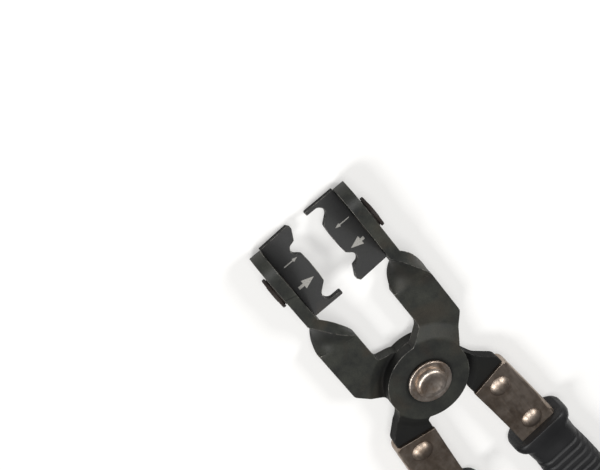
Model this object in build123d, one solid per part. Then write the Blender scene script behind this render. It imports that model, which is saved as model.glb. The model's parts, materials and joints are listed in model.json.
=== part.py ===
# Hose clamp pliers: two joggled and twisted plate arms, swivelling jaws, channel handles.
# Millimetres. X runs forward to the jaws, Y to the left jaw, Z up.
# The origin is on the pivot axis, in the plane that the tool lies on.
import os
from math import cos, degrees, pi, radians, sin, sqrt

from build123d import *

# Arm plate
plate = 4.0
strip_width = 13.4
lap_gap = 0.1

# Pivot
pivot_radius = 4.0
eye_radius = 14.4
running_clearance = 0.05
washer_radius = 7.6
washer_thickness = 1.4
washer_round = 0.45
front_head_radius = 5.4
front_head_height = 1.8
front_head_round = 1.5
back_head_radius = 5.0
head_chamfer = 0.35
dimple_radius = 3.2
dimple_depth = 0.35

# Joggle between the eye and the flat strip
joggle_land = 0.8
shank_joggle_run = 4.7
tang_joggle_run = 3.2
joggle_bend = 2.2

# Shank, twist and end plate
shank_offset = 15.3
shank_end = 32.4
shank_end_lean = -1.4
twist_length = 11.75
twist_end_lean = 5.05
twist_angle = 90.0
twist_skew = 0.8
twist_waist = 1.75
plate_offset = 16.45
plate_land = 4.85
tip_reach = 14.1
shoulder_x = 12.3
shoulder_round = 2.6
neck_corner_x = 17.8
neck_round = 2.2
waist_round = 3.0
neck_outer_angle = 81.0
neck_inner_angle = 10.0

# Tang and handle line
tang_x = 13.5
tang_offset = 15.3
tang_length = 38.0
tang_shoulder_round = 3.0
tang_waist_x = 6.6
tang_waist_y = 16.4
tang_waist_round = 7.0
tang_outer_angle = 100.0
tang_inner_angle = 146.0
tang_inner_round = 1.0
splay_angle = 6.0
bow_radius = 900.0

# Jaw
jaw_length = 27.0
jaw_thickness = 3.6
jaw_gap = 0.1
jaw_swivel_angle = 21.5
finger_reach = 11.1
finger_width = 1.2
finger_round = 0.45
crown_reach = 9.1
crown_start = 7.0
crown_setback = 9.4
crown_round = 0.8
crown_bulge = 0.3
big_notch_radius = 2.1
big_notch_reach = 7.9
big_notch_side_angle = -35.0
small_notch_setback = 6.7
small_notch_reach = 7.0
small_notch_half = 1.75
small_notch_rise = 1.1
tooth_corner_setback = 4.5
tooth_corner_reach = 9.8
tooth_tip_setback = 0.9
tooth_reach = 11.7
tooth_round = 0.7
tooth_lean = 0.4

# Swivel of each jaw
barrel_radius = 3.5
tenon_width = 3.8
tenon_clearance = 0.03
friction_washer_radius = 5.0
friction_washer_thickness = 0.3
spring_washer_radius = 4.7
spring_washer_thickness = 0.3
flange_radius = 5.4
flange_thickness = 1.0
flange_round = 0.3
button_radius = 2.9
button_height = 0.2

# Channel handles and their rivets
sheet = 1.2
channel_clearance = 0.05
channel_length = 124.0
channel_lip = 0.45
channel_fold = 1.3
mouth_slant = 6.0
mouth_setback = 2.4
mouth_round = 2.2
rivet_radius = 2.0
rivet_head_radius = 3.8
rivet_head_height = 1.7
rivet_start = 9.0
rivet_end_margin = 9.0
rivet_offset = 0.6

# Grips
grip_setback = 1.2
grip_side_wall = 2.4
grip_end_wall = 3.0
grip_round = 4.6
grip_corner = 6.0
collar_length = 5.0
collar_proud = 2.2
collar_round = 2.0
grip_clearance = 0.05

floor_clearance = 0.05

# Counts
twist_steps = 8
overrun = 5.0

# Derived sizes
rest_height = sqrt(strip_width ** 2 + plate ** 2) / 2 + floor_clearance
eye_face = lap_gap / 2
eye_back = eye_face + plate
washer_face = eye_back + running_clearance
washer_back = washer_face + washer_thickness
joggle_start = eye_radius + joggle_land
twist_end = shank_end + twist_length
swivel_x = twist_end + plate_land + jaw_length / 2
blank_radius = swivel_x + tip_reach
arm_inner_y = plate_offset - plate / 2
arm_outer_y = plate_offset + plate / 2
jaw_base_y = arm_inner_y - jaw_gap
friction_washer_y = arm_outer_y + running_clearance
spring_washer_y = friction_washer_y + friction_washer_thickness
flange_y = spring_washer_y + spring_washer_thickness
button_y = flange_y + flange_thickness
tip_centre_x = swivel_x + tip_reach - strip_width / 2
tang_half = strip_width / 2
web_inner = tang_half + channel_clearance
web_outer = web_inner + sheet
lip = tang_half + channel_lip
flange_inner_z = plate / 2 + channel_clearance
flange_outer_z = flange_inner_z + sheet
rivet_places = [rivet_start, tang_length - rivet_end_margin]
grip_start = rivet_places[-1] + rivet_head_radius + grip_setback


def polar(radius, angle):
    """Point on a circle round the pivot, in degrees."""
    return (radius * cos(radians(angle)), radius * sin(radians(angle)))


def nearest(shape, point):
    """The vertex of a sketch that lies closest to a point."""
    target = Vector(*point)
    return min(shape.vertices(), key=lambda v: (Vector(*v) - target).length)


def round_corners(sketch, corners):
    """Fillet chosen corners of a sketch, one after another."""
    for point, radius in corners:
        sketch = fillet(nearest(sketch, point), radius)
    return sketch


def slab(sketch, low, high):
    """A sketch in the XY plane, as a solid from one height to another."""
    return extrude(Pos(0, 0, low) * sketch, high - low)


# Handle line: an arc that leaves the tang splayed out and bows back in
tang_point = Vector(-tang_x, -tang_offset)
line_back = Vector(-cos(radians(splay_angle)), -sin(radians(splay_angle)))
line_in = Vector(line_back.Y, -line_back.X)
bow_centre = tang_point + line_in * bow_radius


def on_line(distance, outward=0.0):
    """Point at a distance along the handle line, and outward from it."""
    turn = distance / bow_radius
    start = (tang_point - bow_centre).rotate(Axis.Z, -degrees(turn))
    return bow_centre + start * ((bow_radius + outward) / bow_radius)


def band(start, end, inward, outward):
    """Curved strip along the handle line, from inward to outward of it."""
    middle = (start + end) / 2
    outer = ThreePointArc(on_line(start, outward), on_line(middle, outward), on_line(end, outward))
    inner = ThreePointArc(on_line(end, -inward), on_line(middle, -inward), on_line(start, -inward))
    sides = [Line(outer @ 1, inner @ 0), Line(inner @ 1, outer @ 0)]
    return make_face([outer, sides[0], inner, sides[1]])


def formed_blank(joggle_run):
    """Disc round the pivot with the joggle that brings the arm from the eye's level to the middle."""
    joggle_end = joggle_start + joggle_run
    section = make_face(Polyline(
        (0, -eye_face), (joggle_start, -eye_face), (joggle_end, plate / 2),
        (blank_radius, plate / 2), (blank_radius, -plate / 2), (joggle_end, -plate / 2),
        (joggle_start, -eye_back), (0, -eye_back), close=True))
    section = round_corners(section, [
        ((joggle_start, -eye_face), joggle_bend), ((joggle_end, plate / 2), joggle_bend),
        ((joggle_end, -plate / 2), joggle_bend), ((joggle_start, -eye_back), joggle_bend)])
    return revolve(Plane.XZ * section, Axis.Z)


def half_space(side):
    """Everything in front of the pivot for 1, or behind it for -1."""
    return Pos(side * blank_radius, 0, 0) * Box(2 * blank_radius, 4 * blank_radius, 2 * strip_width)


def build_arm(lean):
    """Arm of the left jaw: its eye lies under the other one, its tang crosses to the right.

    The lean is 1 or -1: it says which edge of the strip starts to twist further forward.
    """
    shank_in = shank_offset - strip_width / 2
    shank_out = shank_offset + strip_width / 2
    waist = polar(eye_radius, neck_outer_angle)
    neck = polar(eye_radius, neck_inner_angle)
    tang_out = polar(eye_radius, -tang_outer_angle)
    tang_in = polar(eye_radius, -tang_inner_angle)
    shank_points = [
        (0, 0), neck, (neck_corner_x, shank_in), (shank_end - lean * shank_end_lean, shank_in),
        (shank_end + lean * shank_end_lean, shank_out), (shoulder_x, shank_out), waist,
    ]
    outer_start = on_line(0, tang_half)
    inner_start = on_line(0, -tang_half)
    tang_points = [
        (0, 0), tang_out, (-tang_waist_x, -tang_waist_y),
        (outer_start.X, outer_start.Y), (inner_start.X, inner_start.Y), tang_in,
    ]
    tang_band = band(0, tang_length, tang_half, tang_half)
    outline = Circle(eye_radius) + make_face(Polyline(*shank_points, close=True))
    outline += make_face(Polyline(*tang_points, close=True))
    outline += tang_band
    outline = round_corners(outline, [
        ((neck_corner_x, shank_in), neck_round),
        ((shoulder_x, shank_out), shoulder_round),
        (waist, waist_round),
        (tang_in, tang_inner_round),
        ((-tang_waist_x, -tang_waist_y), tang_waist_round),
        ((outer_start.X, outer_start.Y), tang_shoulder_round),
        (tuple(on_line(tang_length, tang_half))[:2], tang_half / 2),
        (tuple(on_line(tang_length, -tang_half))[:2], tang_half / 2),
    ])
    blank = slab(outline, -strip_width / 2, strip_width / 2)
    flat = blank & formed_blank(shank_joggle_run) & half_space(1)
    flat += blank & formed_blank(tang_joggle_run) & half_space(-1)
    flat -= Cylinder(pivot_radius + running_clearance, 2 * strip_width)

    sections = []
    for step in range(twist_steps + 1):
        share = step / twist_steps
        swell_share = sin(pi * share)
        centre = Vector(shank_end + twist_length * share + lean * twist_skew * swell_share,
                        shank_offset + (plate_offset - shank_offset) * share, 0)
        shift = lean * (shank_end_lean + (twist_end_lean - shank_end_lean) * share)
        turn = radians(-twist_angle * share)
        width = strip_width - twist_waist * swell_share
        half = Vector(shift, cos(turn) * width / 2, sin(turn) * width / 2)
        normal = half.cross(Vector(0, -sin(turn), cos(turn)))
        place = Plane(origin=centre, x_dir=half, z_dir=normal)
        sections.append(place * Rectangle(2 * half.length, plate))
    twist = loft(sections)

    end_plate = make_face(Polyline(
        (twist_end - lean * twist_end_lean, strip_width / 2), (tip_centre_x, strip_width / 2),
        (tip_centre_x, -strip_width / 2), (twist_end + lean * twist_end_lean, -strip_width / 2),
        close=True))
    end_plate += Pos(tip_centre_x, 0) * Circle(strip_width / 2)
    end_plate -= Pos(swivel_x, 0) * Circle(barrel_radius + running_clearance)
    end_plate = extrude(Plane.XZ.offset(-arm_inner_y) * end_plate, -plate)
    return flat + twist + end_plate


def build_pivot_rivet():
    """Riveted pivot: flat head below, staked head with a rounded rim and a dished top."""
    shank = Cylinder(pivot_radius, 2 * washer_back)
    back_height = rest_height - washer_back
    back = Pos(0, 0, -washer_back - back_height / 2) * Cylinder(back_head_radius, back_height)
    back = chamfer(back.faces().sort_by(Axis.Z)[0].edges(), head_chamfer)
    front = Pos(0, 0, washer_back + front_head_height / 2) * Cylinder(front_head_radius, front_head_height)
    front = fillet(front.edges().filter_by(GeomType.CIRCLE).sort_by(Axis.Z)[-1], front_head_round)
    dimple_sphere = (dimple_radius ** 2 + dimple_depth ** 2) / (2 * dimple_depth)
    top = washer_back + front_head_height
    front -= Pos(0, 0, top - dimple_depth + dimple_sphere) * Sphere(dimple_sphere)
    return shank + back + front


def ring(outer, inner, thickness, corner):
    """Flat washer on the XY plane with its outer corners rounded."""
    body = Pos(0, 0, thickness / 2) * Cylinder(outer, thickness)
    rims = body.edges().filter_by(GeomType.CIRCLE)
    body = fillet(rims, corner)
    return body - Pos(0, 0, thickness / 2) * Cylinder(inner, 2 * thickness)


def jaw_profile():
    """Outline of a jaw: u runs from the finger end to the tooth end, v is the reach."""
    notch_u = finger_width + big_notch_radius
    side = radians(big_notch_side_angle)
    notch_out = (notch_u + big_notch_radius * cos(side), big_notch_reach + big_notch_radius * sin(side))
    small_u = jaw_length - small_notch_setback
    small_left = (small_u - small_notch_half, small_notch_reach + small_notch_rise)
    small_right = (small_u + small_notch_half, small_notch_reach + small_notch_rise)
    tip = (jaw_length - tooth_tip_setback, tooth_reach)
    crown_end = jaw_length - crown_setback
    tooth_corner = (jaw_length - tooth_corner_setback, tooth_corner_reach)
    edges = Polyline((jaw_length, 0), (0, 0), (0, finger_reach), (finger_width, finger_reach),
                     (finger_width, big_notch_reach))
    edges += ThreePointArc((finger_width, big_notch_reach),
                           (notch_u, big_notch_reach - big_notch_radius), notch_out)
    edges += Line(notch_out, (crown_start, crown_reach))
    edges += ThreePointArc((crown_start, crown_reach),
                           ((crown_start + crown_end) / 2, crown_reach + crown_bulge),
                           (crown_end, crown_reach))
    edges += Line((crown_end, crown_reach), small_left)
    edges += ThreePointArc(small_left, (small_u, small_notch_reach), small_right)
    edges += Polyline(small_right, tooth_corner, tip,
                      (jaw_length + tooth_lean, tooth_reach - tooth_tip_setback), (jaw_length, 0))
    face = make_face(edges)
    return round_corners(face, [
        ((0, finger_reach), finger_round), ((finger_width, finger_reach), finger_round),
        ((crown_start, crown_reach), crown_round), ((crown_end, crown_reach), crown_round),
        (tooth_corner, finger_round), (tip, tooth_round)])


def build_jaw():
    """Left jaw before it is swivelled: finger to the rear, tooth to the front."""
    face = mirror(jaw_profile(), Plane.XZ)
    face = Pos(swivel_x - jaw_length / 2, jaw_base_y) * face
    body = slab(face, -jaw_thickness / 2, jaw_thickness / 2)
    tenon_length = button_y - jaw_base_y
    tenon = Pos(swivel_x, jaw_base_y + tenon_length / 2, 0) * Box(tenon_width, tenon_length, jaw_thickness)
    button = Plane.XZ.offset(-button_y) * Pos(swivel_x, 0) * Circle(button_radius)
    button = extrude(button, -button_height)
    button = chamfer(button.faces().sort_by(Axis.Y)[-1].edges(), button_height / 2)
    return body + tenon + button


def lathe_along_y(sketch_radius, hole_radius, start, end):
    """Plain ring about the swivel axis, from one Y to another."""
    face = Circle(sketch_radius)
    if hole_radius:
        face -= Circle(hole_radius)
    return extrude(Plane.XZ.offset(-start) * Pos(swivel_x, 0) * face, start - end)


def build_swivel_bush():
    """Flanged bush in the arm's bore, with a square hole for the jaw's tenon."""
    barrel = lathe_along_y(barrel_radius, 0, jaw_base_y, flange_y)
    flange = lathe_along_y(flange_radius, 0, flange_y, button_y)
    flange = fillet(flange.faces().sort_by(Axis.Y)[-1].edges(), flange_round)
    length = button_y - jaw_base_y
    hole = Pos(swivel_x, jaw_base_y + length / 2, 0) * Box(
        tenon_width + 2 * tenon_clearance, 2 * length, jaw_thickness + 2 * tenon_clearance)
    return barrel + flange - hole


def build_channel():
    """Pressed channel of the right handle: its web is on the outside, its mouth is slanted."""
    body = slab(band(0, channel_length, lip, web_outer), -flange_outer_z, flange_outer_z)
    outer_wall = body.faces().filter_by(GeomType.CYLINDER).sort_by(Axis.Y)[0]
    body = fillet(outer_wall.edges().filter_by(GeomType.CIRCLE), channel_fold)
    body -= slab(band(-overrun, channel_length + overrun, lip + overrun, web_inner),
                 -flange_inner_z, flange_inner_z)
    corner = on_line(mouth_setback, web_outer)
    plan = band(0, channel_length, lip, web_outer)
    plan -= Pos(corner.X, corner.Y) * Rot(0, 0, splay_angle + mouth_slant) * Rectangle(
        4 * overrun, 4 * strip_width, align=(Align.MIN, Align.CENTER))
    plan = fillet(nearest(plan, (corner.X, corner.Y)), mouth_round)
    return body & slab(plan, -flange_outer_z, flange_outer_z)


def rivet_place(index):
    """Where a handle rivet goes through the channel and the tang."""
    return on_line(rivet_places[index], rivet_offset)


def build_handle_rivet(index):
    """Handle rivet with a low dome on each side."""
    sphere_radius = (rivet_head_radius ** 2 + rivet_head_height ** 2) / (2 * rivet_head_height)
    rivet = Cylinder(rivet_radius, 2 * flange_outer_z)
    cap = Pos(0, 0, flange_outer_z + rivet_head_height - sphere_radius) * Sphere(sphere_radius)
    cap &= Pos(0, 0, flange_outer_z + rivet_head_height / 2) * Cylinder(
        2 * rivet_head_radius, rivet_head_height)
    rivet += cap
    rivet += mirror(cap, Plane.XY)
    place = rivet_place(index)
    return Pos(place.X, place.Y) * rivet


def drill_rivets(body):
    """Rivet holes through a piece of the handle joint."""
    for index in range(len(rivet_places)):
        place = rivet_place(index)
        body -= Pos(place.X, place.Y) * Cylinder(rivet_radius + running_clearance, 2 * strip_width)
    return body


def build_grip():
    """Moulded sleeve over the rear of the channel, with a finger guard at its front."""
    outward = web_outer + grip_side_wall
    inward = lip + grip_side_wall
    end = channel_length + grip_end_wall
    body = slab(band(grip_start, end, inward, outward), -rest_height, rest_height)
    body = fillet(body.edges().filter_by(Axis.Z).sort_by(Axis.X)[:2], grip_corner)
    rims = body.edges().filter_by(lambda e: abs(e.tangent_at(0.5).Z) < 0.5 and e.center().X <
                                  on_line(grip_start + overrun).X)
    body = fillet(rims, grip_round)
    collar = slab(band(grip_start, grip_start + collar_length, inward + collar_proud,
                       outward + collar_proud), -rest_height, rest_height)
    collar = fillet(collar.edges(), collar_round)
    body += collar
    return body - slab(band(0, channel_length, lip + grip_clearance, web_outer + grip_clearance),
                       -flange_outer_z - grip_clearance, flange_outer_z + grip_clearance)


# Placing
def other_side(shape):
    """The same piece for the other lever: turned half a turn about X."""
    return Rot(180, 0, 0) * shape


def swivelled(shape):
    """Turned about the left jaw's swivel axis to the angle that the jaws stand at."""
    return Pos(swivel_x, 0, 0) * Rot(0, jaw_swivel_angle, 0) * Pos(-swivel_x, 0, 0) * shape


def to_right_jaw(shape):
    """The left jaw's piece on the right arm: half a turn about Z through the swivel line."""
    return Pos(2 * swivel_x, 0, 0) * Rot(0, 0, 180) * shape


channel = drill_rivets(build_channel())
grip = build_grip()
jaw = build_jaw()
bush = build_swivel_bush()
bore = barrel_radius + running_clearance
friction_washer = lathe_along_y(friction_washer_radius, bore, friction_washer_y, spring_washer_y)
spring_washer = lathe_along_y(spring_washer_radius, bore, spring_washer_y, flange_y)
pivot_washer = ring(washer_radius, pivot_radius + running_clearance, washer_thickness, washer_round)

nodes = {
    "rear_arm": drill_rivets(build_arm(-1)),
    "front_arm": other_side(drill_rivets(build_arm(1))),
    "pivot_rivet": build_pivot_rivet(),
    "pivot_washer_front": Pos(0, 0, washer_face) * pivot_washer,
    "pivot_washer_back": Pos(0, 0, -washer_back) * pivot_washer,
    "right_channel": channel,
    "left_channel": other_side(channel),
    "right_grip": grip,
    "left_grip": other_side(grip),
}
for index, name in enumerate(["front", "rear"]):
    rivet = build_handle_rivet(index)
    nodes[f"right_{name}_rivet"] = rivet
    nodes[f"left_{name}_rivet"] = other_side(rivet)

swivel_pieces = {
    "jaw": jaw, "swivel_bush": bush, "friction_washer": friction_washer, "spring_washer": spring_washer,
}
for name, piece in swivel_pieces.items():
    nodes[f"left_{name}"] = swivelled(piece)
    nodes[f"right_{name}"] = swivelled(to_right_jaw(piece))

os.makedirs("parts", exist_ok=True)
for name, shape in nodes.items():
    export_step(Pos(0, 0, rest_height) * shape, f"parts/{name}.step")
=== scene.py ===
import json
import math
from collections import namedtuple

import bpy
from mathutils import Euler, Matrix, Vector


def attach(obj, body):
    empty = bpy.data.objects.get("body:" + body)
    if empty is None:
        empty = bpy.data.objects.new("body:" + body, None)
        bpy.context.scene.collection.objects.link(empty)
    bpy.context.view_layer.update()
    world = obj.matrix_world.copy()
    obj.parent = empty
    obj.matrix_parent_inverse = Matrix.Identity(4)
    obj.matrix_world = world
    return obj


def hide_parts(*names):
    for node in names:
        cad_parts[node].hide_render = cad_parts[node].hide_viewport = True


bl_info = {
    "name": "Hose Clamp Pliers",
    "version": (1, 0, 0),
    "blender": (4, 5, 0),
    "location": "View3D > Sidebar > Pliers",
    "description": "Finishes, grips and marks of hose clamp pliers with swivelling jaws",
    "category": "Object",
}

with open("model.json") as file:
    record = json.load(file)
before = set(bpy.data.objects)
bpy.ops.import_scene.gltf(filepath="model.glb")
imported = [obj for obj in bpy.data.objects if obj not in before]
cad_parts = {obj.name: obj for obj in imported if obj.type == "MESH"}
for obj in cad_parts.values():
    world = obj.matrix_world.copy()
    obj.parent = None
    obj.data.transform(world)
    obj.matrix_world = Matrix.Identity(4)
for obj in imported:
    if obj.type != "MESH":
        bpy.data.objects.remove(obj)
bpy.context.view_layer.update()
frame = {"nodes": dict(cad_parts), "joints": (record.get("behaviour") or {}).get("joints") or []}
MM = 0.001
JOINT_PLACES = {joint["name"]: joint["pos_m"] for joint in frame["joints"]}
PIVOT_HEIGHT = JOINT_PLACES["pivot"][2]
SWIVEL_X = JOINT_PLACES["left_jaw_swivel"][0]

# Where the arms change shape: the eye round the pivot, the twist, and the inner face and the top of the
# upright end plate.
EYE_RADIUS = 14.4 * MM
TWIST_START = 32.4 * MM
TWIST_END = 44.15 * MM
PLATE_INNER_Y = 14.45 * MM
PLATE_TOP = PIVOT_HEIGHT + 6.7 * MM

# The photograph's camera: its turn in degrees, its place from the pivot, its focal length in pixels, and how
# far its axis lies from the middle of the picture, in pixels.
PHOTO_WIDTH = 600
CAMERA_TURN = (-27.08034, -20.89323, -124.83073)
CAMERA_PLACE = (368.599 * MM, 2.434 * MM, 443.531 * MM)
FOCAL_PIXELS = 1760.306
AXIS_PIXELS = 0.5

# The stage: the table's width and how much of it glows, the strength of the room's light, the point just
# ahead of the pivot that the lamps face, and each lamp's place and width in metres and its power in watts.
TABLE_WIDTH = 6.0
TABLE_GLOW = 0.5
ROOM_STRENGTH = 0.15
LAMP_AIM = Vector((0.03, 0, 0))
LAMPS = {
    "top_softbox": ((0.36, 0.05, 0.92), 0.4, 4.4),
    "left_softbox": ((0.12, 0.60, 0.72), 0.3, 6.0),
    "right_softbox": ((0.12, -0.60, 0.72), 0.3, 4.5),
}

# A ring of a sleeve: its distance along the handle line, its reach to both sides of it and half its height.
SleeveRing = namedtuple("SleeveRing", "distance outward inward half_height")


def srgb(code):
    """Linear colour, with alpha, of an sRGB hex value."""
    channels = [int(code[i:i + 2], 16) / 255 for i in (0, 2, 4)]
    linear = [c / 12.92 if c <= 0.04045 else ((c + 0.055) / 1.055) ** 2.4 for c in channels]
    return (*linear, 1.0)


# Properties

class PliersJawMarks(bpy.types.PropertyGroup):
    """The pale arrows etched on the jaws, which point to the mouth."""

    big_shaft_width: bpy.props.FloatProperty(
        name="Big shaft width", description="Width of the big arrow's shaft", default=0.95 * MM,
        unit="LENGTH")
    big_head_width: bpy.props.FloatProperty(
        name="Big head width", description="Width of the big arrow's head", default=3.0 * MM,
        unit="LENGTH")
    big_head_length: bpy.props.FloatProperty(
        name="Big head length", description="Length of the big arrow's head", default=4.0 * MM,
        unit="LENGTH")
    small_shaft_width: bpy.props.FloatProperty(
        name="Small shaft width", description="Width of the small arrow's shaft", default=0.35 * MM,
        unit="LENGTH")
    small_head_width: bpy.props.FloatProperty(
        name="Small head width", description="Width of the small arrow's head", default=1.2 * MM,
        unit="LENGTH")
    small_head_length: bpy.props.FloatProperty(
        name="Small head length", description="Length of the small arrow's head", default=1.7 * MM,
        unit="LENGTH")
    film: bpy.props.FloatProperty(
        name="Film", description="How far a mark stands above the steel", default=0.03 * MM, unit="LENGTH")
    jaw_swivel: bpy.props.FloatProperty(
        name="Jaw swivel", description="Turn of the jaws about their swivel axis", default=math.radians(21.5),
        subtype="ANGLE")
    jaw_base: bpy.props.FloatProperty(
        name="Jaw base", description="Distance of a jaw's base from the middle plane", default=14.35 * MM,
        unit="LENGTH")
    jaw_length: bpy.props.FloatProperty(
        name="Jaw length", description="Length of a jaw from finger to tooth", default=27 * MM, unit="LENGTH")
    jaw_thickness: bpy.props.FloatProperty(
        name="Jaw thickness", description="Thickness of a jaw's plate", default=3.6 * MM, unit="LENGTH")


class PliersGrips(bpy.types.PropertyGroup):
    """The moulded sleeves on the handles."""

    tang_x: bpy.props.FloatProperty(
        name="Tang place", description="How far behind the pivot the handle line starts", default=13.5 * MM,
        unit="LENGTH")
    tang_offset: bpy.props.FloatProperty(
        name="Tang offset", description="How far beside the pivot the handle line starts", default=15.3 * MM,
        unit="LENGTH")
    splay: bpy.props.FloatProperty(
        name="Splay", description="Outward angle of the handle line at its start", default=math.radians(6),
        subtype="ANGLE")
    bow: bpy.props.FloatProperty(
        name="Bow", description="Radius of the handle line's inward bow", default=900 * MM, unit="LENGTH")
    start: bpy.props.FloatProperty(
        name="Start", description="Where the sleeve starts along the handle line", default=34 * MM,
        unit="LENGTH")
    end: bpy.props.FloatProperty(
        name="End", description="Where the sleeve ends along the handle line", default=126.8 * MM,
        unit="LENGTH")
    outward: bpy.props.FloatProperty(
        name="Outward", description="The sleeve's reach outward of the handle line", default=9.7 * MM,
        unit="LENGTH")
    inward: bpy.props.FloatProperty(
        name="Inward", description="The sleeve's reach inward of the handle line", default=8.9 * MM,
        unit="LENGTH")
    half_height: bpy.props.FloatProperty(
        name="Half height", description="Half of the sleeve's height at its highest", default=6.9 * MM,
        unit="LENGTH")
    corner: bpy.props.FloatProperty(
        name="Corner", description="Rounding of the sleeve's long edges", default=4.6 * MM, unit="LENGTH")
    guard: bpy.props.FloatProperty(
        name="Guard", description="How far the finger guard stands out at the front", default=2.1 * MM,
        unit="LENGTH")
    guard_length: bpy.props.FloatProperty(
        name="Guard length", description="Length of the finger guard", default=5 * MM, unit="LENGTH")
    groove_start: bpy.props.FloatProperty(
        name="Groove start", description="How far behind the sleeve's front the first thumb groove lies",
        default=13 * MM, unit="LENGTH")
    groove_pitch: bpy.props.FloatProperty(
        name="Groove pitch", description="Distance between the thumb grooves", default=3.2 * MM,
        unit="LENGTH")
    groove_depth: bpy.props.FloatProperty(
        name="Groove depth", description="Depth of the thumb grooves", default=0.45 * MM, unit="LENGTH")
    groove_count: bpy.props.IntProperty(
        name="Grooves", description="How many thumb grooves the sleeve has", default=7)
    swell: bpy.props.FloatProperty(
        name="Swell", description="How far the sleeve swells in the palm", default=0.35 * MM, unit="LENGTH")
    waist: bpy.props.FloatProperty(
        name="Waist", description="How far the sleeve narrows under the thumb", default=0.6 * MM,
        unit="LENGTH")
    end_length: bpy.props.FloatProperty(
        name="End length", description="Length of the rounded rear end", default=6 * MM, unit="LENGTH")
    end_taper: bpy.props.FloatProperty(
        name="End taper", description="How far the rear end draws in at each side", default=5.6 * MM,
        unit="LENGTH")
    end_drop: bpy.props.FloatProperty(
        name="End drop", description="How far the rear end draws in above and below", default=4.6 * MM,
        unit="LENGTH")


class PliersFinishes(bpy.types.PropertyGroup):
    """Colours of the steel, the plating, the marks, the sleeves and the stage."""

    phosphate: bpy.props.FloatVectorProperty(
        name="Phosphate", description="Grey-black phosphate on the arms", subtype="COLOR", size=4,
        default=srgb("34352f"))
    phosphate_dark: bpy.props.FloatVectorProperty(
        name="Dark phosphate", description="The darker clouds on the arms", subtype="COLOR", size=4,
        default=srgb("1c1d1d"))
    jaw_phosphate: bpy.props.FloatVectorProperty(
        name="Jaw phosphate", description="The cooler grey phosphate on the hardened jaws", subtype="COLOR",
        size=4, default=srgb("242423"))
    jaw_phosphate_dark: bpy.props.FloatVectorProperty(
        name="Dark jaw phosphate", description="The darker clouds on the jaws", subtype="COLOR", size=4,
        default=srgb("141414"))
    stain: bpy.props.FloatVectorProperty(
        name="Stain", description="Warm stains where oil dried on the phosphate", subtype="COLOR", size=4,
        default=srgb("332e27"))
    worn: bpy.props.FloatVectorProperty(
        name="Worn steel", description="Steel that shows on the rubbed corners", subtype="COLOR", size=4,
        default=srgb("a39f98"))
    oxide: bpy.props.FloatVectorProperty(
        name="Black oxide", description="Oiled black oxide on the swivel bushes and washers", subtype="COLOR",
        size=4, default=srgb("332d2a"))
    nickel: bpy.props.FloatVectorProperty(
        name="Nickel", description="Warm grey nickel plating", subtype="COLOR", size=4,
        default=srgb("a3968a"))
    nickel_dull: bpy.props.FloatVectorProperty(
        name="Dull nickel", description="Fingered patches of the plating", subtype="COLOR", size=4,
        default=srgb("7f7164"))
    pivot_nickel: bpy.props.FloatVectorProperty(
        name="Pivot nickel", description="The brighter, tumbled plating of the pivot", subtype="COLOR",
        size=4, default=srgb("c4bab0"))
    pivot_nickel_dull: bpy.props.FloatVectorProperty(
        name="Dull pivot nickel", description="Tarnished patches of the pivot", subtype="COLOR", size=4,
        default=srgb("8d7c6d"))
    etch: bpy.props.FloatVectorProperty(
        name="Etch", description="Pale laser etching of the arrows", subtype="COLOR", size=4,
        default=srgb("8b8984"))
    sleeve: bpy.props.FloatVectorProperty(
        name="Sleeve", description="Black plastic of the sleeves", subtype="COLOR", size=4,
        default=srgb("161617"))
    floor: bpy.props.FloatVectorProperty(
        name="Floor", description="White paper table", subtype="COLOR", size=4, default=srgb("f1f0ee"))
    room: bpy.props.FloatVectorProperty(
        name="Room", description="Pale room round the table", subtype="COLOR", size=4, default=srgb("e4e4e8"))


# Shared steps

def deselect():
    """Leaves object mode with nothing selected."""
    if bpy.context.object and bpy.context.object.mode != "OBJECT":
        bpy.ops.object.mode_set(mode="OBJECT")
    bpy.ops.object.select_all(action="DESELECT")


def finish_piece(piece, name, body, material):
    """Names a piece, puts its place in its mesh, dresses it and lets it ride."""
    deselect()
    piece.select_set(True)
    bpy.context.view_layer.objects.active = piece
    bpy.ops.object.transform_apply(location=True, rotation=True, scale=True)
    piece.name = name
    piece.data.name = name
    piece.data.materials.clear()
    piece.data.materials.append(material)
    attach(piece, body)


def new_material(name):
    """An empty node material, its tree and its output."""
    material = bpy.data.materials.new(name)
    material.use_nodes = True
    tree = material.node_tree
    tree.nodes.clear()
    output = tree.nodes.new("ShaderNodeOutputMaterial")
    return material, tree, output


def node(tree, kind, settings=None, **links):
    """Adds a node, sets its properties and sockets, and links what feeds it.

    A link is named for its socket, with _ for a space, or i and the socket's number.
    """
    added = tree.nodes.new(kind)
    for key, value in (settings or {}).items():
        if isinstance(key, str) and hasattr(added, key):
            setattr(added, key, value)
        else:
            added.inputs[key].default_value = value
    for key, source in links.items():
        socket = key.replace("_", " ")
        index = int(socket[1:]) if socket[0] == "i" and socket[1:].isdigit() else socket
        tree.links.new(source, added.inputs[index])
    return added


def paint(names, material):
    """Gives CAD nodes a finish through their material slots."""
    for name in names:
        for slot in frame["nodes"][name].material_slots:
            slot.material = material


# Finishes

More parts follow.
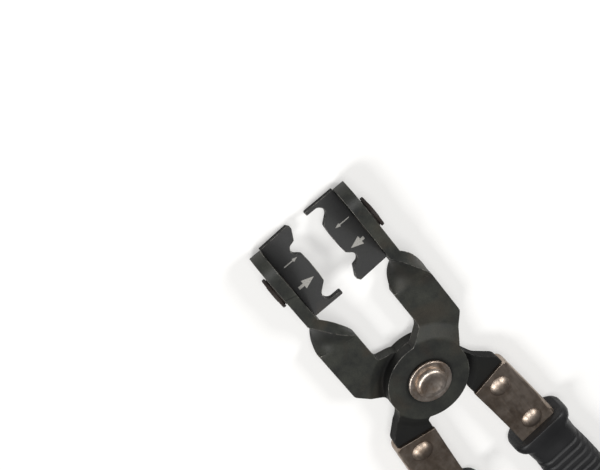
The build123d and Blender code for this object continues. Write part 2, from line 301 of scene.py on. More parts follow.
def worn_edges(tree, radius, patches):
    """How far a point lies on a rubbed corner, from 0 to 1, and the softened normal there."""
    soft = node(tree, "ShaderNodeBevel", {"samples": 6, "Radius": radius})
    flat = node(tree, "ShaderNodeNewGeometry")
    dot = node(tree, "ShaderNodeVectorMath", {"operation": "DOT_PRODUCT"}, i0=soft.outputs["Normal"],
               i1=flat.outputs["Normal"])
    # The wear starts where the softened normal leans by 10 degrees, is full at 33, and comes in patches.
    turned = node(tree, "ShaderNodeMapRange", {"From Min": 0.985, "From Max": 0.84},
                  Value=dot.outputs["Value"])
    patchy = node(tree, "ShaderNodeMapRange", {"From Min": 0.40, "From Max": 0.62}, Value=patches)
    wear = node(tree, "ShaderNodeMath", {"operation": "MULTIPLY"}, i0=turned.outputs["Result"],
                i1=patchy.outputs["Result"])
    return wear.outputs["Value"], soft.outputs["Normal"]


def within(tree, place, rise, fall):
    """Share from 0 to 1 that grows over one stretch of a place and fades over a later one."""
    entered = node(tree, "ShaderNodeMapRange", {"From Min": rise[0], "From Max": rise[1]}, Value=place)
    stayed = node(tree, "ShaderNodeMapRange", {"From Min": fall[1], "From Max": fall[0]}, Value=place)
    return node(tree, "ShaderNodeMath", {"operation": "MULTIPLY"}, i0=entered.outputs["Result"],
                i1=stayed.outputs["Result"]).outputs["Value"]


def eased_crease(tree, along, normal):
    """The normal, eased where the twists start: cold strip bends gently and has no hard crease."""
    broad = node(tree, "ShaderNodeBevel", {"samples": 12, "Radius": 2.8 * MM})
    flat = node(tree, "ShaderNodeNewGeometry")
    dot = node(tree, "ShaderNodeVectorMath", {"operation": "DOT_PRODUCT"}, i0=broad.outputs["Normal"],
               i1=flat.outputs["Normal"])
    # At the crease the broad normal leans by less than 22 degrees. At the strip's own corners it leans by
    # more than 31, and they stay sharp.
    shallow = node(tree, "ShaderNodeMapRange", {"From Min": 0.86, "From Max": 0.93},
                   Value=dot.outputs["Value"])
    # It slants across the strip, so it is looked for on both sides of the twist's start.
    there = within(tree, along.outputs["X"], (TWIST_START - 6.4 * MM, TWIST_START - 3.4 * MM),
                   (TWIST_START + 4.6 * MM, TWIST_START + 8.6 * MM))
    share = node(tree, "ShaderNodeMath", {"operation": "MULTIPLY"}, i0=shallow.outputs["Result"], i1=there)
    eased = node(tree, "ShaderNodeMix", {"data_type": "VECTOR"}, i0=share.outputs["Value"], i4=normal,
                 i5=broad.outputs["Normal"])
    unit = node(tree, "ShaderNodeVectorMath", {"operation": "NORMALIZE"}, i0=eased.outputs[1])
    return unit.outputs["Vector"]


def twist_painted_light(tree, along):
    """Painted light on the twists: painted shade in the hollow of the broad face, and a painted highlight on
    the raised edge.
    """
    # On both arms the hollow faces left, and the raised edge beside it faces right; the tone follows how far
    # the face leans left.
    facing = node(tree, "ShaderNodeSeparateXYZ", Vector=node(tree, "ShaderNodeTexCoord").outputs["Normal"])
    tone = node(tree, "ShaderNodeMapRange",
                {"From Min": -0.7, "From Max": 0.8, "To Min": 1.5, "To Max": 0.55}, Value=facing.outputs["Y"])
    there = within(tree, along.outputs["X"], (TWIST_START + 0.6 * MM, TWIST_START + 3.6 * MM),
                   (TWIST_END + 1.85 * MM, TWIST_END + 4.85 * MM))
    return node(tree, "ShaderNodeMix", {2: 1.0}, i0=there, i3=tone.outputs["Result"]).outputs[0]


def bend_line_shade(tree, place, along):
    """Painted shade of the faint slanted line where the left end plate is slightly bent, across its top edge.
    """
    # The line goes forward by 0.32 mm for each millimetre outward, and would cross the tool's middle plane
    # 6.1 mm behind the swivels.
    slope, crossing = 0.32, SWIVEL_X - 6.1 * MM
    slant = node(tree, "ShaderNodeVectorMath", {"operation": "DOT_PRODUCT", 1: (1.0, -slope, 0.0)}, i0=place)
    past = node(tree, "ShaderNodeMath", {"operation": "SUBTRACT", 1: crossing}, i0=slant.outputs["Value"])
    away = node(tree, "ShaderNodeMath", {"operation": "ABSOLUTE"}, i0=past.outputs["Value"])
    mark = node(tree, "ShaderNodeMapRange", {"From Min": 0.45 * MM, "From Max": 0.1 * MM},
                Value=away.outputs["Value"]).outputs["Result"]
    top = node(tree, "ShaderNodeMapRange",
               {"From Min": PLATE_TOP - 0.5 * MM, "From Max": PLATE_TOP - 0.2 * MM}, Value=along.outputs["Z"])
    left = node(tree, "ShaderNodeMapRange",
                {"From Min": PLATE_INNER_Y - 1.45 * MM, "From Max": PLATE_INNER_Y + 1.05 * MM},
                Value=along.outputs["Y"])
    for there in (top, left):
        mark = node(tree, "ShaderNodeMath", {"operation": "MULTIPLY"}, i0=mark,
                    i1=there.outputs["Result"]).outputs["Value"]
    return node(tree, "ShaderNodeMapRange", {"To Min": 1.0, "To Max": 0.45}, Value=mark).outputs["Result"]


def eye_tone_and_tang_shadow(tree, place, along):
    """Shades of an arm's rear: the eye is darker, and the tang behind the pivot gets a painted shadow."""
    across = node(tree, "ShaderNodeVectorMath", {"operation": "MULTIPLY", 1: (1, 1, 0)}, i0=place)
    reach = node(tree, "ShaderNodeVectorMath", {"operation": "LENGTH"}, i0=across.outputs["Vector"])
    outside = node(tree, "ShaderNodeMapRange", {"From Min": EYE_RADIUS, "From Max": EYE_RADIUS + 0.6 * MM},
                   Value=reach.outputs["Value"])
    eye = node(tree, "ShaderNodeMapRange", {"To Min": 0.76, "To Max": 1.0}, Value=outside.outputs["Result"])
    # Painted shadow: outside the eye and behind the pivot the colour is darkened.
    behind = node(tree, "ShaderNodeMapRange", {"From Min": -2 * MM, "From Max": -5 * MM},
                  Value=along.outputs["X"])
    shadowed = node(tree, "ShaderNodeMath", {"operation": "MULTIPLY"}, i0=outside.outputs["Result"],
                  i1=behind.outputs["Result"])
    tang = node(tree, "ShaderNodeMapRange", {"To Min": 1.0, "To Max": 0.15}, Value=shadowed.outputs["Value"])
    return eye.outputs["Result"], tang.outputs["Result"]


def tenon_shade(tree, along):
    """Painted shade on a jaw: the end of its tenon, which sits in its bush beyond the end plate's inner face,
    is darkened.
    """
    side = node(tree, "ShaderNodeMath", {"operation": "ABSOLUTE"}, i0=along.outputs["Y"])
    inside = node(tree, "ShaderNodeMapRange",
                  {"From Min": PLATE_INNER_Y + 0.55 * MM, "From Max": PLATE_INNER_Y + 2.05 * MM,
                   "To Min": 1.0, "To Max": 0.1}, Value=side.outputs["Value"])
    return inside.outputs["Result"]


def phosphated_steel(name, light, dark, finishes, is_arm):
    """Manganese phosphate on pressed steel: a dry, cloudy, grey-black crystal skin, rubbed off on corners.

    An arm also has its darker eye, a painted shadow on its tang, a painted shade along its bend line, painted
    light on its twists and its eased crease, and a jaw has a painted shade on its tenon.
    """
    material, tree, output = new_material(name)
    place = node(tree, "ShaderNodeTexCoord").outputs["Object"]
    along = node(tree, "ShaderNodeSeparateXYZ", Vector=place)
    # Clouds of 9 mm from handling, warm stains of 14 mm where oil dried, rubbed patches of 2.5 mm, and
    # crystals of 0.35 mm, drawn coarser than the real 0.05 mm so that they show.
    clouds = node(tree, "ShaderNodeTexNoise", {"Scale": 1 / (9 * MM), "Detail": 5.0, "Roughness": 0.65},
                  Vector=place)
    stains = node(tree, "ShaderNodeTexNoise", {"Scale": 1 / (14 * MM), "Detail": 4.0, "Distortion": 0.6},
                  Vector=place)
    patches = node(tree, "ShaderNodeTexNoise", {"Scale": 1 / (2.5 * MM), "Detail": 3.0}, Vector=place)
    crystals = node(tree, "ShaderNodeTexNoise", {"Scale": 1 / (0.35 * MM), "Detail": 2.0}, Vector=place)
    spread = node(tree, "ShaderNodeMapRange", {"From Min": 0.28, "From Max": 0.72},
                  Value=clouds.outputs["Fac"])
    base = node(tree, "ShaderNodeMix", {"data_type": "RGBA", 6: dark[:], 7: light[:]},
                i0=spread.outputs["Result"])
    dried = node(tree, "ShaderNodeMapRange", {"From Min": 0.52, "From Max": 0.68, "To Max": 0.6},
                 Value=stains.outputs["Fac"])
    stained = node(tree, "ShaderNodeMix", {"data_type": "RGBA", 7: finishes.stain[:]},
                   i0=dried.outputs["Result"], i6=base.outputs[2])
    rubbed, normal = worn_edges(tree, 0.4 * MM, patches.outputs["Fac"])
    # Painted shade in the corners beside the end plates, under the twists and round the eye, found by
    # occlusion.
    corner = node(tree, "ShaderNodeAmbientOcclusion", {"samples": 8, "Distance": 8 * MM})
    painted_shade_and_tone = node(tree, "ShaderNodeMapRange",
                 {"From Min": 0.42, "From Max": 0.98, "To Min": 0.08, "To Max": 1.0},
                 Value=corner.outputs["AO"]).outputs["Result"]
    if is_arm:
        normal = eased_crease(tree, along, normal)
        shades = (*eye_tone_and_tang_shadow(tree, place, along), bend_line_shade(tree, place, along), twist_painted_light(tree, along))
    else:
        shades = (tenon_shade(tree, along),)
    for shade in shades:
        painted_shade_and_tone = node(tree, "ShaderNodeMath", {"operation": "MULTIPLY"}, i0=painted_shade_and_tone, i1=shade).outputs["Value"]
    grain = node(tree, "ShaderNodeMapRange",
                 {"From Min": 0.3, "From Max": 0.7, "To Min": 0.82, "To Max": 1.2},
                 Value=crystals.outputs["Fac"])
    tone = node(tree, "ShaderNodeMath", {"operation": "MULTIPLY"}, i0=grain.outputs["Result"], i1=painted_shade_and_tone)
    speckled = node(tree, "ShaderNodeVectorMath", {"operation": "SCALE"}, Vector=stained.outputs[2],
                    Scale=tone.outputs["Value"])
    wear = node(tree, "ShaderNodeMath", {"operation": "MULTIPLY"}, i0=rubbed, i1=painted_shade_and_tone).outputs["Value"]
    colour = node(tree, "ShaderNodeMix", {"data_type": "RGBA", 7: finishes.worn[:]}, i0=wear,
                  i6=speckled.outputs["Vector"])
    # The skin is uneven: dry where the crystals are thick, a little smoother in the dark clouds, dull under
    # the painted shade, and polished where it is rubbed through.
    dry = node(tree, "ShaderNodeMapRange",
               {"From Min": 0.35, "From Max": 0.65, "To Min": 0.45, "To Max": 0.55},
               Value=clouds.outputs["Fac"])
    dull = node(tree, "ShaderNodeMapRange", {"To Min": 0.35, "To Max": 0.0}, Value=painted_shade_and_tone)
    skin = node(tree, "ShaderNodeMath", {"operation": "ADD"}, i0=dry.outputs["Result"],
                i1=dull.outputs["Result"])
    rough = node(tree, "ShaderNodeMath", {"operation": "MULTIPLY_ADD", 1: -0.14}, i0=wear,
                 i2=skin.outputs["Value"])
    bump = node(tree, "ShaderNodeBump", {"Strength": 0.25, "Distance": 0.05 * MM},
                Height=crystals.outputs["Fac"], Normal=normal)
    shader = node(tree, "ShaderNodeBsdfPrincipled", {"IOR": 1.5, "Specular IOR Level": 0.26},
                  Base_Color=colour.outputs[2], Roughness=rough.outputs["Value"], Metallic=wear,
                  Normal=bump.outputs["Normal"])
    tree.links.new(shader.outputs[0], output.inputs[0])
    return material


def nickel_plate(name, bright, dull):
    """Satin nickel over pressed steel: warm grey metal, with dull fingered patches and fine rubbing marks."""
    material, tree, output = new_material(name)
    place = node(tree, "ShaderNodeTexCoord").outputs["Object"]
    # Patches of 7 mm, pits of 0.5 mm and rubbing marks 0.25 mm apart that run along the tool.
    patches = node(tree, "ShaderNodeTexNoise", {"Scale": 1 / (7 * MM), "Detail": 5.0, "Roughness": 0.65},
                   Vector=place)
    pits = node(tree, "ShaderNodeTexNoise", {"Scale": 1 / (0.5 * MM), "Detail": 3.0}, Vector=place)
    stretched = node(tree, "ShaderNodeMapping", {"Scale": (0.04, 1.0, 1.0)}, Vector=place)
    marks = node(tree, "ShaderNodeTexNoise", {"Scale": 1 / (0.25 * MM), "Detail": 2.0},
                 Vector=stretched.outputs["Vector"])
    spread = node(tree, "ShaderNodeMapRange", {"From Min": 0.38, "From Max": 0.62},
                  Value=patches.outputs["Fac"])
    colour = node(tree, "ShaderNodeMix", {"data_type": "RGBA", 6: dull[:], 7: bright[:]},
                  i0=spread.outputs["Result"])
    rough = node(tree, "ShaderNodeMapRange",
                 {"From Min": 0.3, "From Max": 0.7, "To Min": 0.32, "To Max": 0.48},
                 Value=marks.outputs["Fac"])
    soft = node(tree, "ShaderNodeBevel", {"samples": 6, "Radius": 0.3 * MM})
    bump = node(tree, "ShaderNodeBump", {"Strength": 0.2, "Distance": 0.04 * MM}, Height=pits.outputs["Fac"],
                Normal=soft.outputs["Normal"])
    shader = node(tree, "ShaderNodeBsdfPrincipled", {"Metallic": 1.0}, Base_Color=colour.outputs[2],
                  Roughness=rough.outputs["Result"], Normal=bump.outputs["Normal"])
    tree.links.new(shader.outputs[0], output.inputs[0])
    return material


def black_oxide(name, finishes):
    """Oiled black oxide on turned steel: near black, with a satin oil sheen and turning marks."""
    material, tree, output = new_material(name)
    place = node(tree, "ShaderNodeTexCoord").outputs["Object"]
    # Turning marks 0.3 mm apart, and oil patches of 3 mm.
    marks = node(tree, "ShaderNodeTexNoise", {"Scale": 1 / (0.3 * MM), "Detail": 2.0}, Vector=place)
    oil = node(tree, "ShaderNodeTexNoise", {"Scale": 1 / (3 * MM), "Detail": 3.0}, Vector=place)
    rubbed, normal = worn_edges(tree, 0.15 * MM, oil.outputs["Fac"])
    # The oil keeps most of the skin on these corners.
    wear = node(tree, "ShaderNodeMath", {"operation": "MULTIPLY", 1: 0.25}, i0=rubbed).outputs["Value"]
    colour = node(tree, "ShaderNodeMix", {"data_type": "RGBA", 6: finishes.oxide[:], 7: finishes.worn[:]},
                  i0=wear)
    rough = node(tree, "ShaderNodeMapRange",
                 {"From Min": 0.3, "From Max": 0.7, "To Min": 0.45, "To Max": 0.65}, Value=oil.outputs["Fac"])
    bump = node(tree, "ShaderNodeBump", {"Strength": 0.2, "Distance": 0.03 * MM}, Height=marks.outputs["Fac"],
                Normal=normal)
    shader = node(tree, "ShaderNodeBsdfPrincipled", {"IOR": 1.5, "Specular IOR Level": 0.12},
                  Base_Color=colour.outputs[2], Roughness=rough.outputs["Result"], Metallic=wear,
                  Normal=bump.outputs["Normal"])
    tree.links.new(shader.outputs[0], output.inputs[0])
    return material


def laser_etch(name, finishes):
    """Laser etching that has burnt the phosphate off: pale, dull and slightly broken."""
    material, tree, output = new_material(name)
    place = node(tree, "ShaderNodeTexCoord").outputs["Object"]
    # Breaks of 0.4 mm, where the beam skipped crystals.
    breaks = node(tree, "ShaderNodeTexNoise", {"Scale": 1 / (0.4 * MM), "Detail": 2.0}, Vector=place)
    broken = node(tree, "ShaderNodeMapRange", {"From Min": 0.3, "From Max": 0.5, "To Min": 0.7},
                  Value=breaks.outputs["Fac"])
    colour = node(tree, "ShaderNodeMix", {"data_type": "RGBA", 6: finishes.phosphate[:], 7: finishes.etch[:]},
                  i0=broken.outputs["Result"])
    shader = node(tree, "ShaderNodeBsdfPrincipled", {"Roughness": 0.7, "Specular IOR Level": 0.3},
                  Base_Color=colour.outputs[2])
    tree.links.new(shader.outputs[0], output.inputs[0])
    return material


def moulded_sleeve(name, finishes):
    """Injection-moulded soft PVC: matte black with the mould's fine spark-eroded grain."""
    material, tree, output = new_material(name)
    place = node(tree, "ShaderNodeTexCoord").outputs["Object"]
    # Grain of 0.5 mm, drawn coarser than the real 0.1 mm so that it shows, and rubbed patches of 15 mm.
    grain = node(tree, "ShaderNodeTexVoronoi", {"Scale": 1 / (0.5 * MM)}, Vector=place)
    rubbed = node(tree, "ShaderNodeTexNoise", {"Scale": 1 / (15 * MM), "Detail": 3.0}, Vector=place)
    rough = node(tree, "ShaderNodeMapRange",
                 {"From Min": 0.35, "From Max": 0.65, "To Min": 0.45, "To Max": 0.62},
                 Value=rubbed.outputs["Fac"])
    tint = node(tree, "ShaderNodeMapRange",
                {"From Min": 0.35, "From Max": 0.65, "To Min": 0.85, "To Max": 1.2},
                Value=rubbed.outputs["Fac"])
    colour = node(tree, "ShaderNodeVectorMath", {"operation": "SCALE", 0: finishes.sleeve[:3]},
                  Scale=tint.outputs["Result"])
    bump = node(tree, "ShaderNodeBump", {"Strength": 0.3, "Distance": 0.05 * MM},
                Height=grain.outputs["Distance"])
    shader = node(tree, "ShaderNodeBsdfPrincipled", {"IOR": 1.5, "Specular IOR Level": 0.4},
                  Base_Color=colour.outputs["Vector"], Roughness=rough.outputs["Result"],
                  Normal=bump.outputs["Normal"])
    tree.links.new(shader.outputs[0], output.inputs[0])
    return material


# Operators

class PLIERS_OT_stage(bpy.types.Operator):
    """Lay a pale table, hang soft lamps and stand the camera where the photograph was taken"""

    bl_idname = "pliers.stage"
    bl_label = "Stage and camera"

    def execute(self, context):
        finishes = context.scene.pliers_finishes
        deselect()
        bpy.ops.mesh.primitive_plane_add(size=TABLE_WIDTH)
        table = context.object
        table.name = "table"
        material, tree, output = new_material("pale_table")
        # Part of what the camera sees of the table is a steady glow, so that the shadows stay as faint as on
        # paper that is lit from below. Everything else sees plain paper.
        path = node(tree, "ShaderNodeLightPath")
        share = node(tree, "ShaderNodeMath", {"operation": "MULTIPLY", 1: TABLE_GLOW},
                     i0=path.outputs["Is Camera Ray"])
        paper = node(tree, "ShaderNodeBsdfDiffuse", {"Color": finishes.floor[:]})
        glow = node(tree, "ShaderNodeEmission", {"Color": finishes.floor[:]})
        seen = node(tree, "ShaderNodeMixShader", None, i0=share.outputs[0], i1=paper.outputs[0],
                    i2=glow.outputs[0])
        tree.links.new(seen.outputs[0], output.inputs[0])
        table.data.materials.append(material)

        world = bpy.data.worlds.new("soft_room")
        context.scene.world = world
        world.use_nodes = True
        tree = world.node_tree
        tree.nodes.clear()
        output = tree.nodes.new("ShaderNodeOutputWorld")
        room = node(tree, "ShaderNodeBackground", {"Color": finishes.room[:], "Strength": ROOM_STRENGTH})
        tree.links.new(room.outputs[0], output.inputs[0])

        for name, (place, width, power) in LAMPS.items():
            turn = (LAMP_AIM - Vector(place)).to_track_quat("-Z", "Y").to_euler()
            bpy.ops.object.light_add(type="AREA", location=place, rotation=turn)
            lamp = context.object
            lamp.name = name
            lamp.data.size = width
            lamp.data.energy = power

        turn = Euler([math.radians(angle) for angle in CAMERA_TURN], "XYZ")
        place = Vector(CAMERA_PLACE) + Vector((0, 0, PIVOT_HEIGHT))
        bpy.ops.object.camera_add(location=place, rotation=turn)
        camera = context.object
        camera.name = "photo_camera"
        camera.data.lens = camera.data.sensor_width * FOCAL_PIXELS / PHOTO_WIDTH
        camera.data.shift_y = AXIS_PIXELS / PHOTO_WIDTH
        camera.data.clip_start = 10 * MM
        context.scene.camera = camera
        context.scene.view_settings.view_transform = "Standard"
        return {"FINISHED"}


class PLIERS_OT_arms(bpy.types.Operator):
    """Give the two twisted arms and the jaws their phosphated steel"""

    bl_idname = "pliers.arms"
    bl_label = "Arms and jaws"

    def execute(self, context):
        finishes = context.scene.pliers_finishes
        paint(["rear_arm", "front_arm"], phosphated_steel(
            "phosphated_arm_steel", finishes.phosphate, finishes.phosphate_dark, finishes, is_arm=True))
        paint(["left_jaw", "right_jaw"], phosphated_steel(
            "phosphated_jaw_steel", finishes.jaw_phosphate, finishes.jaw_phosphate_dark, finishes,
            is_arm=False))
        return {"FINISHED"}


class PLIERS_OT_swivels(bpy.types.Operator):
    """Give the swivel bushes and their washers oiled black oxide"""

    bl_idname = "pliers.swivels"
    bl_label = "Jaw swivels"

    def execute(self, context):
        names = [f"{side}_{piece}" for side in ("left", "right")
                 for piece in ("swivel_bush", "friction_washer", "spring_washer")]
        paint(names, black_oxide("oiled_black_oxide", context.scene.pliers_finishes))
        return {"FINISHED"}


class PLIERS_OT_pivot_and_handles(bpy.types.Operator):
    """Give the pivot, the pressed channels and the handle rivets their nickel plating"""

    bl_idname = "pliers.pivot_and_handles"
    bl_label = "Pivot and handles"

    def execute(self, context):
        finishes = context.scene.pliers_finishes
        names = [f"{side}_{piece}" for side in ("left", "right")
                 for piece in ("channel", "front_rivet", "rear_rivet")]
        paint(names, nickel_plate("rolled_nickel_plate", finishes.nickel, finishes.nickel_dull))
        paint(["pivot_rivet", "pivot_washer_front", "pivot_washer_back"],
              nickel_plate("tumbled_nickel_plate", finishes.pivot_nickel, finishes.pivot_nickel_dull))
        return {"FINISHED"}


class PLIERS_OT_jaw_marks(bpy.types.Operator):
    """Etch a small and a big arrow on each jaw's face, pointing to the mouth"""

    bl_idname = "pliers.jaw_marks"
    bl_label = "Arrow marks"

    # Each arrow's place along the jaw from the finger end, and its tail and tip from the jaw's base
    PLACES = {
        ("left", "small"): (18.0 * MM, 2.3 * MM, 7.4 * MM),
        ("left", "big"): (10.0 * MM, 1.6 * MM, 7.5 * MM),
        ("right", "small"): (9.8 * MM, 1.4 * MM, 6.8 * MM),
        ("right", "big"): (17.7 * MM, 1.8 * MM, 7.0 * MM),
    }

    def execute(self, context):
        marks = context.scene.pliers_jaw_marks
        etch = laser_etch("laser_etched_steel", context.scene.pliers_finishes)
        for (side, size), (along, tail, tip) in self.PLACES.items():
            shaft_width = getattr(marks, f"{size}_shaft_width")
            head_width = getattr(marks, f"{size}_head_width")
            head_length = getattr(marks, f"{size}_head_length")
            neck = tip - head_length
            deselect()
            # A sheet, cut in three lengthways and gathered at the tip, is the head. The shaft is drawn out of
            # its middle.
            bpy.ops.mesh.primitive_plane_add(size=1.0, location=(0, (neck + tip) / 2, 0))
            arrow = context.object
            arrow.scale = (head_width, head_length, 1)
            bpy.ops.object.transform_apply(location=True, rotation=True, scale=True)
            bpy.ops.object.mode_set(mode="EDIT")
            context.tool_settings.mesh_select_mode = (True, False, False)
            for cut_side in (-1, 1):
                bpy.ops.mesh.select_all(action="SELECT")
                bpy.ops.mesh.bisect(plane_co=(cut_side * shaft_width / 2, 0, 0), plane_no=(1, 0, 0))
            self.pick(arrow, lambda co: co.y > tip - head_length / 4)
            bpy.ops.transform.resize(value=(0, 1, 1), center_override=(0, tip, 0))
            bpy.ops.mesh.select_all(action="SELECT")
            bpy.ops.mesh.remove_doubles(threshold=0.001 * MM)
            self.pick(arrow, lambda co: co.y < neck + head_length / 4 and abs(co.x) < 0.51 * shaft_width)
            bpy.ops.mesh.extrude_region_move(TRANSFORM_OT_translate={"value": (0, tail - neck, 0)})
            bpy.ops.object.mode_set(mode="OBJECT")
            thick = arrow.modifiers.new("film", "SOLIDIFY")
            thick.thickness = marks.film
            thick.offset = 1
            bpy.ops.object.modifier_apply(modifier=thick.name)
            arrow.data.transform(self.jaw_place(marks, side, along))
            finish_piece(arrow, f"{side}_jaw_{size}_arrow", f"{side}_swivel", etch)
        return {"FINISHED"}

    @staticmethod
    def pick(piece, test):
        """Selects the points of a piece that pass a test, in edit mode."""
        bpy.ops.mesh.select_all(action="DESELECT")
        bpy.ops.object.mode_set(mode="OBJECT")
        for vertex in piece.data.vertices:
            vertex.select = test(vertex.co)
        bpy.ops.object.mode_set(mode="EDIT")

    @staticmethod
    def jaw_place(marks, side, along):
        """Where a mark drawn at the jaw's base line goes, on the jaw's swivelled upper face."""
        x = along - marks.jaw_length / 2
        half_turn = Matrix.Rotation(math.pi, 4, "Z")
        upright = Matrix.Translation((x, marks.jaw_base, marks.jaw_thickness / 2)) @ half_turn
        if side == "right":
            upright = half_turn @ upright
        swivel = Matrix.Rotation(marks.jaw_swivel, 4, "Y")
        return Matrix.Translation((SWIVEL_X, 0, PIVOT_HEIGHT)) @ swivel @ upright


class PLIERS_OT_grips(bpy.types.Operator):
    """Mould a sleeve with a finger guard, thumb grooves and a rounded end over each handle"""

    bl_idname = "pliers.grips"
    bl_label = "Grips"

    # The finger guard, in shares of its length and of how far it stands out, and a thumb groove, in shares of
    # the pitch and of its depth.
    GUARD_PROFILE = ((0.0, 0.35), (0.12, 0.78), (0.3, 1.0), (0.6, 1.0), (0.82, 0.8), (1.0, 0.35),
                     (1.25, 0.08))
    GROOVE_PROFILE = ((-0.30, 0.0), (-0.16, 0.75), (0.0, 1.0), (0.16, 0.75), (0.30, 0.0))
    # Above and below, the guard rises only a little, because the tool lies flat.
    GUARD_RISE = 0.12 * MM
    PALM_STEPS = 14
    END_STEPS = 8

    def execute(self, context):
        sizes = context.scene.pliers_grips
        plastic = moulded_sleeve("moulded_black_sleeve", context.scene.pliers_finishes)
        right = self.mould(context, sizes)
        deselect()
        right.select_set(True)
        context.view_layer.objects.active = right
        bpy.ops.object.duplicate(linked=False)
        left = context.object
        left.data.transform(Matrix.Translation((0, 0, 2 * PIVOT_HEIGHT)) @ Matrix.Rotation(math.pi, 4, "X"))
        for piece, side, body in ((right, "right", "rear_lever"), (left, "left", "front_lever")):
            finish_piece(piece, f"{side}_sleeve", body, plastic)
            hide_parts(f"{side}_grip")
        return {"FINISHED"}

    @staticmethod
    def on_line(sizes, distance):
        """Point and heading at a distance along the right handle's line."""
        start = Vector((-sizes.tang_x, -sizes.tang_offset, PIVOT_HEIGHT))
        inward = Vector((-math.sin(sizes.splay), math.cos(sizes.splay), 0))
        centre = start + inward * sizes.bow
        turn = Matrix.Rotation(-distance / sizes.bow, 3, "Z")
        return centre + turn @ (start - centre), sizes.splay - distance / sizes.bow

    def ring_centre(self, sizes, ring):
        """Middle of a ring, which lies off the handle line, and its heading."""
        point, heading = self.on_line(sizes, ring.distance)
        outward = Vector((math.sin(heading), -math.cos(heading), 0))
        return point + outward * (ring.outward - ring.inward) / 2, heading

    def stations(self, sizes):
        """Distance of each ring before the rounded end, and how far it stands out.

        Above 0 that is a share of the guard's height, and below 0 a share of a groove's depth.
        """
        stations = [(sizes.start + sizes.guard_length * share, stand) for share, stand in self.GUARD_PROFILE]
        grooves_start = sizes.start + sizes.groove_start
        for index in range(sizes.groove_count):
            middle = grooves_start + sizes.groove_pitch * index
            stations += [(middle + sizes.groove_pitch * share, -depth)
                         for share, depth in self.GROOVE_PROFILE]
        palm_start = grooves_start + sizes.groove_pitch * sizes.groove_count
        palm_length = sizes.end - sizes.end_length - palm_start
        stations += [(palm_start + palm_length * step / self.PALM_STEPS, 0.0)
                     for step in range(self.PALM_STEPS + 1)]
        return stations

    def rings(self, sizes):
        """All rings of the sleeve, from its front to its rear."""
        rings = []
        for distance, stand in self.stations(sizes):
            share = (distance - sizes.start) / (sizes.end - sizes.start)
            # The sleeve swells most just before its middle, and the thumb lies a seventh of the way along it.
            swell = sizes.swell * math.sin(math.pi * min(1, share * 1.05))
            waist = sizes.waist * math.exp(-((share - 0.14) / 0.09) ** 2)
            side = stand * (sizes.guard if stand > 0 else sizes.groove_depth)
            rise = stand * (self.GUARD_RISE if stand > 0 else sizes.groove_depth)
            half_height = sizes.half_height - sizes.swell + 0.8 * swell - 0.5 * waist + rise
            rings.append(SleeveRing(distance, sizes.outward + swell - waist + side,
                                    sizes.inward + swell - waist + side, min(half_height, sizes.half_height)))
        # The rear end is rounded by rings on a quarter of an ellipse.
        last = rings[-1]
        for step in range(1, self.END_STEPS + 1):
            angle = math.pi / 2 * step / self.END_STEPS
            pull = 1 - math.cos(angle)
            rings.append(SleeveRing(last.distance + sizes.end_length * math.sin(angle),
                                    last.outward - sizes.end_taper * pull,
                                    last.inward - sizes.end_taper * pull,
                                    last.half_height - sizes.end_drop * pull))
        return rings

    def mould(self, context, sizes):
        """One sleeve: a rounded section drawn out along the handle line, ring by ring."""
        previous, *others = self.rings(sizes)
        centre, heading = self.ring_centre(sizes, previous)
        deselect()
        bpy.ops.mesh.primitive_plane_add(size=1.0, rotation=(0, math.pi / 2, 0))
        sleeve = context.object
        sleeve.scale = (2 * previous.half_height, previous.outward + previous.inward, 1)
        bpy.ops.object.transform_apply(location=True, rotation=True, scale=True)
        sleeve.location = centre
        sleeve.rotation_euler = (0, 0, heading)
        bpy.ops.object.transform_apply(location=True, rotation=True, scale=True)
        bpy.ops.object.mode_set(mode="EDIT")
        context.tool_settings.mesh_select_mode = (True, False, False)
        bpy.ops.mesh.select_all(action="SELECT")
        bpy.ops.mesh.bevel(affect="VERTICES", offset=sizes.corner, offset_type="OFFSET", segments=7,
                           profile=0.5)
        context.tool_settings.mesh_select_mode = (False, False, True)
        bpy.ops.mesh.select_all(action="SELECT")
        for ring in others:
            new_centre, new_heading = self.ring_centre(sizes, ring)
            bpy.ops.mesh.extrude_region_move(TRANSFORM_OT_translate={"value": new_centre - centre})
            bpy.ops.transform.rotate(value=heading - new_heading, orient_axis="Z", center_override=new_centre)
            across = (ring.outward + ring.inward) / (previous.outward + previous.inward)
            upward = ring.half_height / previous.half_height
            local = Matrix.Rotation(new_heading, 3, "Z")
            bpy.ops.transform.resize(value=(1, across, upward), orient_type="GLOBAL",
                                     orient_matrix=local.transposed(), center_override=new_centre)
            previous, centre, heading = ring, new_centre, new_heading
        bpy.ops.mesh.select_all(action="SELECT")
        bpy.ops.mesh.normals_make_consistent(inside=False)
        bpy.ops.object.mode_set(mode="OBJECT")
        rounding = sleeve.modifiers.new("soft_edges", "BEVEL")
        rounding.width = 0.5 * MM
        rounding.segments = 2
        rounding.limit_method = "ANGLE"
        rounding.angle_limit = math.radians(50)
        bpy.ops.object.modifier_apply(modifier=rounding.name)
        bpy.ops.object.shade_smooth_by_angle(angle=math.radians(35))
        return sleeve


# Panel and registration

class PLIERS_PT_sidebar(bpy.types.Panel):
    """Lists the pieces of the pliers and their sizes"""

    bl_idname = "PLIERS_PT_sidebar"
    bl_label = "Hose Clamp Pliers"
    bl_space_type = "VIEW_3D"
    bl_region_type = "UI"
    bl_category = "Pliers"

    def draw(self, context):
        for operator in OPERATORS:
            self.layout.operator(operator.bl_idname)
        for group in GROUPS:
            settings = getattr(context.scene, group)
            box = self.layout.box()
            for name in settings.__annotations__:
                box.prop(settings, name)


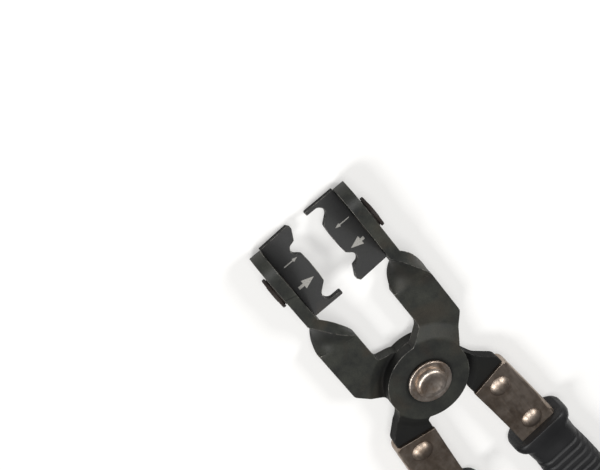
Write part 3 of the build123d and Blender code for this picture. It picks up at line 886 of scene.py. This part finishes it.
GROUPS = {"pliers_finishes": PliersFinishes, "pliers_jaw_marks": PliersJawMarks, "pliers_grips": PliersGrips}
OPERATORS = (PLIERS_OT_stage, PLIERS_OT_arms, PLIERS_OT_swivels, PLIERS_OT_pivot_and_handles,
             PLIERS_OT_jaw_marks, PLIERS_OT_grips)


def register():
    """Registers the settings, the operators and the panel."""
    for name, group in GROUPS.items():
        bpy.utils.register_class(group)
        setattr(bpy.types.Scene, name, bpy.props.PointerProperty(type=group))
    for operator in OPERATORS:
        bpy.utils.register_class(operator)
    bpy.utils.register_class(PLIERS_PT_sidebar)


def unregister():
    """Takes back what register added."""
    bpy.utils.unregister_class(PLIERS_PT_sidebar)
    for operator in reversed(OPERATORS):
        bpy.utils.unregister_class(operator)
    for name, group in reversed(list(GROUPS.items())):
        delattr(bpy.types.Scene, name)
        bpy.utils.unregister_class(group)


def main():
    """Builds the looks in order."""
    register()
    bpy.ops.pliers.stage()
    bpy.ops.pliers.arms()
    bpy.ops.pliers.swivels()
    bpy.ops.pliers.pivot_and_handles()
    bpy.ops.pliers.jaw_marks()
    bpy.ops.pliers.grips()


if __name__ == "__main__":
    main()
